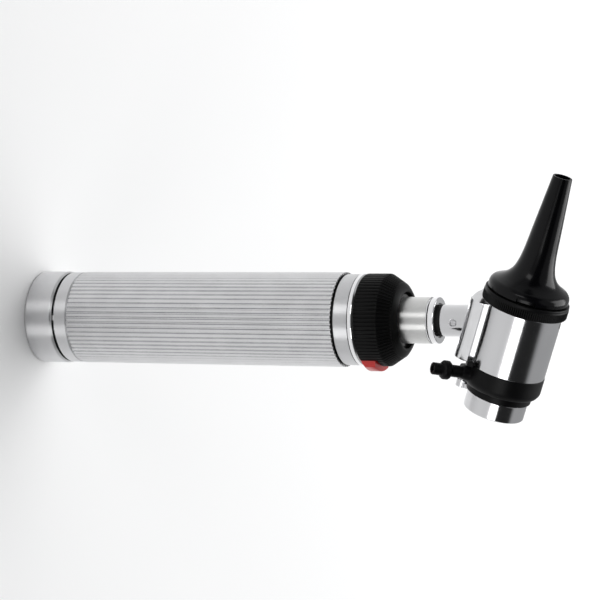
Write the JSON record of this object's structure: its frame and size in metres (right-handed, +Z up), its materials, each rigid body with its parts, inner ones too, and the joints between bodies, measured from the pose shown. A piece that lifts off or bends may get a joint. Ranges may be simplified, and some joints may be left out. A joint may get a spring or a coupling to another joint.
{
  "type": "otoscope",
  "caption": "Battery handle with fluted grip, rheostat ring and lock button, carrying a tilted head with ear speculum, lamp housing, hose nipple and swivelling magnifier.",
  "frame": {"origin": "centre of the end cap's flat face, on the handle's axis", "axes": "+Z up the handle from the cap to the head; -X the way the speculum points; Y across"},
  "size_m": [0.0772, 0.0316, 0.1837],
  "materials": {
    "bottom_cap": "satin turned, bright edge",
    "end_disc": "satin turned",
    "cap_plate": "bright",
    "cap_spring": "plated spring wire",
    "handle_tube": "satin anodised, fluted",
    "battery_lower": "printed sleeve",
    "battery_upper": "printed sleeve",
    "battery_contact": "bright",
    "front_bezel": "polished",
    "front_insulator": "moulded",
    "rheostat_track": "resistance strip",
    "connector_sleeve": "satin plated, bright end",
    "contact_insulator": "moulded",
    "contact_spring": "spring wire",
    "centre_contact": "bright",
    "circlip": "blackened",
    "rheostat_ring": "semi gloss",
    "wiper": "spring brass",
    "button_spring": "spring wire",
    "lock_button": "semi gloss",
    "neck_tube": "polished",
    "bayonet_pins": "ground",
    "neck_seal": "matt",
    "neck_screw": "dull",
    "lamp_base": "bright",
    "lamp_insulator": "moulded",
    "lamp_bulb": "clear",
    "lamp_housing": "polished",
    "head_tube": "polished",
    "mirror_bracket": "matt black",
    "light_mirror": "front silvered",
    "nose_cone": "matt black",
    "ring_screw": "blackened",
    "release_ring": "fine knurl",
    "speculum": "gloss",
    "rear_housing": "satin",
    "hose_nipple": "satin",
    "lens_seal": "matt",
    "pivot_washer": "spring steel",
    "pivot_screw": "polished",
    "eyepiece_ring": "polished",
    "lens": "clear",
    "lens_clip": "blackened"
  },
  "bodies": {
    "handle": {"handle_tube": "handle_tube", "battery_lower": "battery_lower", "battery_upper": "battery_upper", "battery_contact": "battery_contact", "front_bezel": "front_bezel", "front_insulator": "front_insulator", "rheostat_track": "rheostat_track", "connector_sleeve": "connector_sleeve", "contact_insulator": "contact_insulator", "contact_spring": "contact_spring", "circlip": "circlip"},
    "cap_carrier": {"cap_plate": "cap_plate", "cap_spring": "cap_spring"},
    "cap": {"bottom_cap": "bottom_cap", "end_disc": "end_disc"},
    "contact_pin": {"centre_contact": "centre_contact"},
    "rheostat": {"rheostat_ring": "rheostat_ring", "wiper": "wiper", "button_spring": "button_spring"},
    "button": {"lock_button": "lock_button"},
    "head": {"neck_tube": "neck_tube", "bayonet_pins": "bayonet_pins", "neck_seal": "neck_seal", "neck_screw": "neck_screw", "lamp_base": "lamp_base", "lamp_insulator": "lamp_insulator", "lamp_bulb": "lamp_bulb", "lamp_housing": "lamp_housing", "head_tube": "head_tube", "mirror_bracket": "mirror_bracket", "light_mirror": "light_mirror", "nose_cone": "nose_cone", "ring_screw": "ring_screw", "rear_housing": "rear_housing", "hose_nipple": "hose_nipple", "lens_seal": "lens_seal", "pivot_washer": "pivot_washer", "pivot_screw": "pivot_screw"},
    "release": {"release_ring": "release_ring"},
    "ear_speculum": {"speculum": "speculum"},
    "eyepiece": {"eyepiece_ring": "eyepiece_ring", "lens": "lens", "lens_clip": "lens_clip"}
  },
  "joints": [
    {"name": "cap_travel", "type": "slide", "parent": "handle", "child": "cap_carrier", "axis": [0, 0, -1], "range_m": [0, 0.0075]},
    {"name": "cap_turn", "type": "hinge", "parent": "cap_carrier", "child": "cap", "pos_m": [0, 0, 0.005], "axis": [0, 0, 1], "range_deg": [0, 1800]},
    {"name": "contact_plunge", "type": "slide", "parent": "handle", "child": "contact_pin", "axis": [0, 0, -1], "range_m": [0, 0.0008], "stiffness_N_per_m": 600, "springref_m": -0.001, "deforming": ["contact_spring"]},
    {"name": "rheostat_turn", "type": "hinge", "parent": "handle", "child": "rheostat", "pos_m": [0, 0, 0.12], "axis": [0, 0, 1], "range_deg": [0, 100]},
    {"name": "button_press", "type": "slide", "parent": "rheostat", "child": "button", "axis": [-0.9659, 0.2588, 0], "range_m": [0, 0.0012], "stiffness_N_per_m": 800, "springref_m": -0.0008, "deforming": ["button_spring"]},
    {"name": "head_twist", "type": "hinge", "parent": "handle", "child": "head", "pos_m": [0, 0, 0.14], "axis": [0, 0, 1], "range_deg": [0, 36]},
    {"name": "ring_twist", "type": "hinge", "parent": "head", "child": "release", "pos_m": [-0.00659, 0, 0.16735], "axis": [-0.9421, 0, 0.3355], "range_deg": [0, 30]},
    {"name": "speculum_pull", "type": "slide", "parent": "head", "child": "ear_speculum", "axis": [-0.9421, 0, 0.3355], "range_m": [0, 0.03]},
    {"name": "lens_swivel", "type": "hinge", "parent": "head", "child": "eyepiece", "pos_m": [0.01946, 0, 0.14512], "axis": [-0.9421, 0, 0.3355], "range_deg": [0, 90]}
  ],
  "couplings": [
    {"joint": "cap_travel", "follows": "cap_turn", "m_per_rad": 0.00023873}
  ]
}
